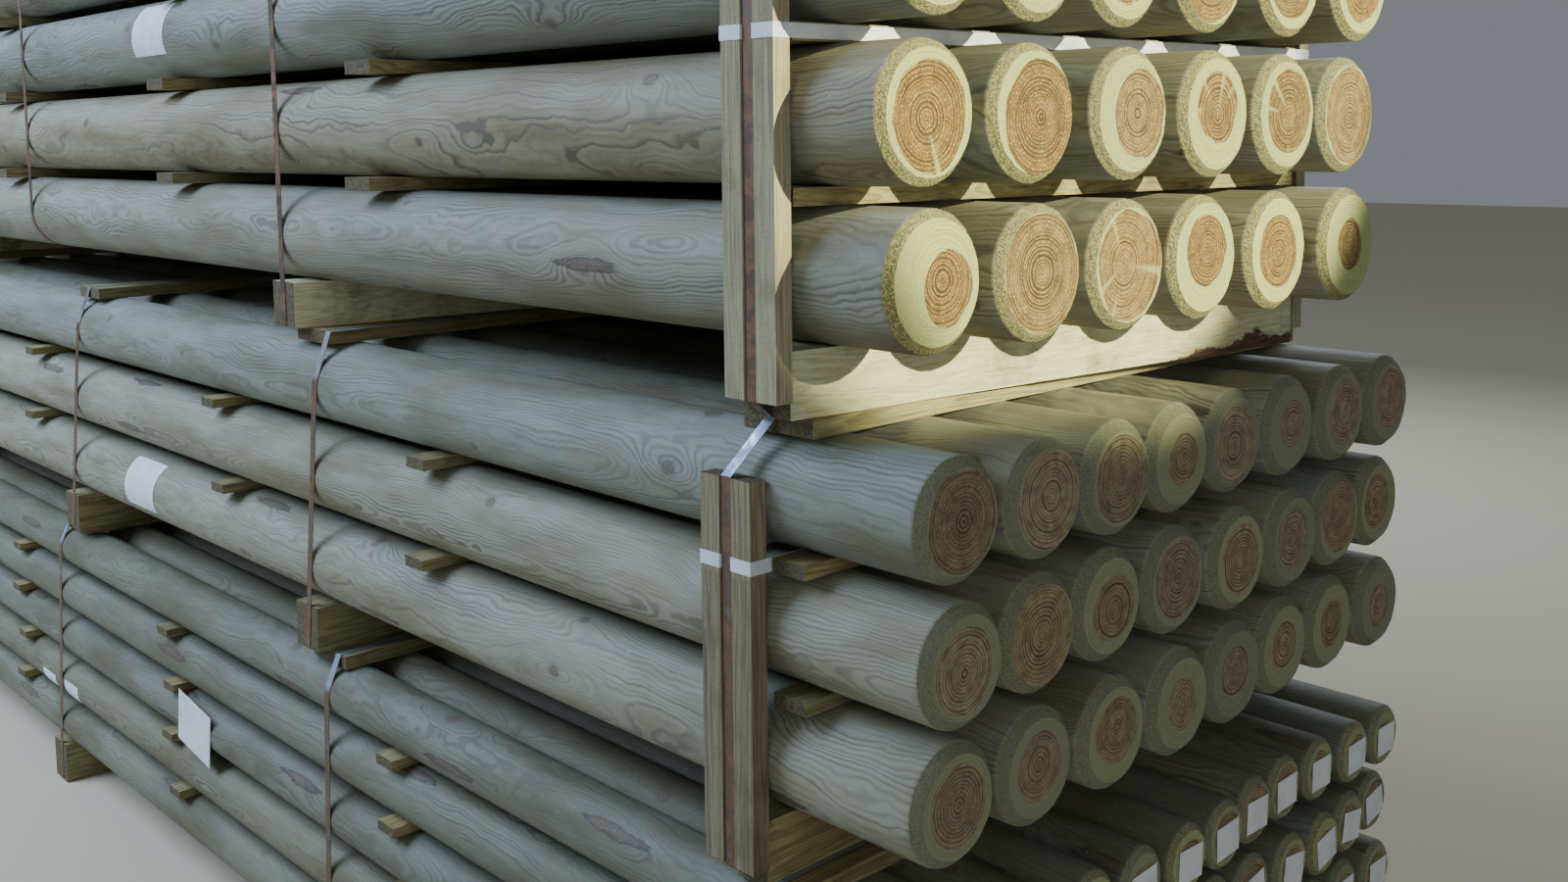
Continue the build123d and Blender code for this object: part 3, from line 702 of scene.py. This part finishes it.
def turn_log(pack, span, luck, seen=None):
    """Spins one log, gives it its own grain and lays it in its place."""
    start, stop, y, z = span
    length = stop - start
    bm = spin_log(length, pack)
    slide, roll = luck.uniform(0, 40), luck.uniform(0, 2 * math.pi)
    facts, pith, heart = own_numbers(pack, luck, seen)
    rolling = Matrix.Rotation(roll, 3, "X")
    carried = {"log_facts": facts, "pith": rolled(rolling, pith), "heart": rolled(rolling, heart)}
    for name, own in carried.items():
        layer = bm.verts.layers.float_vector.new(name)
        for vertex in bm.verts:
            vertex[layer] = own
    grain = bm.verts.layers.float_vector.new("grain")
    for vertex in bm.verts:
        turned = rolling @ vertex.co
        vertex[grain] = Vector((turned.x + slide, turned.y, turned.z))
        if abs(vertex.co.x) > length / 2 - pack["bevel"] - WEAR_REACH:
            wear_end(vertex, length, pack["radius"], slide)
    bmesh.ops.translate(bm, verts=bm.verts, vec=((start + stop) / 2, y, z))
    log = bpy.data.meshes.new("log")
    bm.to_mesh(log)
    bm.free()
    return log


print(len(SEEN_ENDS), "ends set by hand, the others by chance")

# %% [markdown]
# The twelve, eight or six logs of a layer become one object, because they are handled
# as one layer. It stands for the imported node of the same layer.


# %% Layers of logs
def make_layer(name, pack):
    """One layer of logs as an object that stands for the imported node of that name."""
    luck = random.Random(name)
    bm = bmesh.new()
    for number, span in enumerate(log_ends(name, pack)):
        log = turn_log(pack, span, luck, SEEN_ENDS.get((name, number)))
        bm.from_mesh(log)
        bpy.data.meshes.remove(log)
    mesh = bpy.data.meshes.new(name + "_turned")
    bm.to_mesh(mesh)
    bm.free()
    mesh.materials.append(turned_pine)
    layer = bpy.data.objects.new(name + "_turned", mesh)
    bpy.context.scene.collection.objects.link(layer)
    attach(layer, "root")
    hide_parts(name)
    return layer


for pack_name, pack in PACKS.items():
    made = [make_layer(f"{pack_name}_layer_{n + 1}", pack) for n in range(pack["layers"])]
    print(pack_name, "logs:", sum(len(layer.data.polygons) for layer in made), "faces")

# %% [markdown]
# ## Sawn timber
# Bearers, battens, stickers and uprights come straight off the saw. Their grain runs
# along the piece, so one recipe is made with the long direction as a choice: along Y
# for what lies across the pack, and along Z for what stands. The bearer under the top
# pack is fresher, and has an edge of bark left on it towards the far side.

# %% Sawn timber
ACROSS, UPRIGHT = 1, 2
GRAIN_STRETCH = {ACROSS: (38.0, 2.0, 38.0), UPRIGHT: (60.0, 60.0, 2.0)}
BOARD_ROWS = {ACROSS: 11.0, UPRIGHT: 1.0}  # boards told apart in each metre of height
BOARD_TINTS = [(0.0, (0.80, 0.82, 0.80)), (0.5, (1.0, 1.0, 1.0)), (1.0, (1.12, 1.04, 0.92))]
BOARD_STAIN = (0.115, 0.090, 0.055)
CUT_END_TONES = [(0.35, (0.060, 0.050, 0.030)), (0.65, (0.150, 0.130, 0.075))]
BARK_TONES = [(0.3, (0.020, 0.013, 0.010)), (0.7, (0.190, 0.105, 0.068))]
SAW_STEP = 0.0065  # metres from one mark of the saw to the next


def bark_edge(wood, colour, place, fibre, foot):
    """Bark along a lower edge at the height foot, wider towards the far side."""
    _, y, z = wood.split(place)
    ragged = wood.grain_noise(place, (9.0, 16.0, 30.0), 3.0, 0.6)
    left = wood.times_plus(ragged, 0.045, wood.fade(y, -0.15, 0.30, -0.050, -0.004))
    bark = wood.fade(wood.minus(wood.minus(z, foot), left), 0.002, -0.002)
    return wood.mix(bark, colour, wood.ramp(fibre, BARK_TONES))


def sawn_wood(name, way, base, dark, foot=None):
    """Rough sawn pine with its grain one way. With a foot it has a bark edge there."""
    wood = Recipe(name)
    place = wood.node("ShaderNodeTexCoord").outputs["Object"]
    x, y, z = wood.split(place)
    column = wood.math("FLOOR", wood.times(x, 2.0))
    row = wood.math("FLOOR", wood.times(z, BOARD_ROWS[way]))
    slide_x, slide_y, luck = wood.chance(wood.join(column, row, 1.0))
    moved = wood.vector("ADD", place, wood.join(wood.times(slide_x, 9.0), slide_y, 0.0))
    stretched = wood.vector("MULTIPLY", moved, GRAIN_STRETCH[way])
    wave = wood.noise(stretched, 0.5)
    late = wood.fade(wood.math("FRACT", wood.times(wave, 16.0)), 0.30, 0.95)
    fibre = wood.noise(wood.vector("SCALE", stretched, 9.0), 1.0, 4.0, 0.65)
    blotch = wood.noise(moved, 9.0, 4.0, 0.65)
    colour = wood.mix(wood.times(late, 0.60), base, dark)
    colour = wood.mix(wood.fade(blotch, 0.50, 0.72, 0.0, 0.60), colour, BOARD_STAIN)
    colour = wood.mix(0.55, colour, wood.ramp(fibre, greys((0.3, 0.22), (0.7, 0.82))), "OVERLAY")
    colour = wood.mix(1.0, colour, wood.ramp(luck, BOARD_TINTS), "MULTIPLY")
    if foot is not None:
        colour = bark_edge(wood, colour, place, fibre, foot)

    # Sawn-off ends drink the treatment and go dark.
    facing = wood.split(wood.node("ShaderNodeNewGeometry").outputs["Normal"])[way]
    cut_off = wood.fade(wood.math("ABSOLUTE", facing), 0.75, 0.9)
    pores = wood.noise(wood.vector("SCALE", moved, 260.0), 1.0, 3.0, 0.6)
    colour = wood.mix(cut_off, colour, wood.ramp(pores, CUT_END_TONES))

    marks = wood.math("SINE", wood.times(z if way == UPRIGHT else y, 2 * math.pi / SAW_STEP))
    height = wood.plus(wood.times(fibre, 1.1), wood.times(late, -0.3))
    height = wood.times_plus(marks, 0.03, height)
    height = wood.times_plus(pores, 0.8, height)
    return wood.finish(colour, 0.82, wood.bump(height, 0.0012, 0.85), Specular_IOR_Level=0.3)


across_wood = sawn_wood("sawn_pine_across", ACROSS, (0.300, 0.275, 0.135), (0.150, 0.125, 0.058))
upright_wood = sawn_wood("sawn_pine_upright", UPRIGHT, (0.268, 0.236, 0.146), (0.140, 0.110, 0.067))
fresh_upright_wood = sawn_wood("fresh_pine_upright", UPRIGHT, (0.345, 0.328, 0.205),
                               (0.255, 0.234, 0.140))
fresh_across_wood = sawn_wood("fresh_pine_across", ACROSS, (0.720, 0.700, 0.440),
                              (0.550, 0.515, 0.295), foot=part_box("upper_bearers")[0].z)
print("four finishes of sawn pine ready")

# %% [markdown]
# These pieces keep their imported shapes. Only the finish in their material slots changes.


# %% Dress the timber
def dress(node, material):
    """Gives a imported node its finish."""
    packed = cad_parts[node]
    for slot in packed.material_slots:
        slot.material = material


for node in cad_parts:
    if node == "upper_uprights":
        dress(node, fresh_upright_wood)
    elif node == "upper_bearers":
        dress(node, fresh_across_wood)
    elif node.endswith("_uprights"):
        dress(node, upright_wood)
    elif node.endswith(("_bearers", "_battens")) or "_stickers_" in node:
        dress(node, across_wood)
print("sawn timber dressed")

# %% [markdown]
# ## Steel
# The straps are plain steel with a thin skin of rust. Where they face up, over the top
# of a log, a blue reflection of the sky is painted on. The bands round the uprights are
# newer: flat, pale zinc.

# %% Steel
RUST_TONES = [(0.34, (0.150, 0.130, 0.125)), (0.46, (0.135, 0.090, 0.068)),
              (0.58, (0.235, 0.135, 0.080)), (0.72, (0.090, 0.062, 0.052))]
PAINTED_SKY_REFLECTION = (0.30, 0.36, 0.46)
ZINC_TONES = [(0.3, (0.62, 0.66, 0.74)), (0.7, (0.78, 0.81, 0.86))]


def strap_steel():
    """Rusty strapping, with a painted reflection of the sky where it faces up."""
    steel = Recipe("strap_steel")
    place = steel.node("ShaderNodeTexCoord").outputs["Object"]
    rust = steel.noise(place, 38.0, 4.0, 0.65)
    grit = steel.noise(place, 500.0, 3.0, 0.6)
    facing = steel.split(steel.node("ShaderNodeNewGeometry").outputs["Normal"])[2]
    # Painted reflection: a blue of the sky is mixed into the colour where the strap faces up.
    painted_sky_mask = steel.fade(facing, 0.12, 0.4)
    colour = steel.mix(painted_sky_mask, steel.ramp(rust, RUST_TONES), PAINTED_SKY_REFLECTION)
    rough = steel.fade(rust, 0.35, 0.6, 0.34, 0.68)
    return steel.finish(colour, rough, steel.bump(grit, 0.0002, 0.5), Metallic=0.65)


def band_steel():
    """Newer zinc-coated banding."""
    steel = Recipe("band_steel")
    place = steel.node("ShaderNodeTexCoord").outputs["Object"]
    dull = steel.noise(place, 30.0, 4.0, 0.6)
    rough = steel.fade(dull, 0.3, 0.7, 0.34, 0.5)
    return steel.finish(steel.ramp(dull, ZINC_TONES), rough, Metallic=0.15)


rusty, bright = strap_steel(), band_steel()
for pack_name in PACKS:
    dress(f"{pack_name}_straps", rusty)
    dress(f"{pack_name}_bands", bright)
print("steel dressed")

# %% [markdown]
# ## Paper and floor
# Cards and labels are plain white paper, a little greyed by the weather. The floor gets
# its pale finish here too.

# %% Paper and floor
PAPER_TONES = [(0.30, (0.60, 0.63, 0.66)), (0.55, (0.72, 0.75, 0.78)), (0.75, (0.76, 0.77, 0.76))]
FLOOR_TONE = (0.58, 0.52, 0.385)

paper = Recipe("paper")
paper_place = paper.node("ShaderNodeTexCoord").outputs["Object"]
paper_tone = paper.noise(paper_place, 22.0, 4.0, 0.6)
white_paper = paper.finish(paper.ramp(paper_tone, PAPER_TONES), 0.75)
for node in ("cards", "end_labels"):
    dress(node, white_paper)

floor_finish = Recipe("pale_floor")
floor_mesh.materials.append(floor_finish.finish(FLOOR_TONE, 0.9))
print("paper and floor dressed")
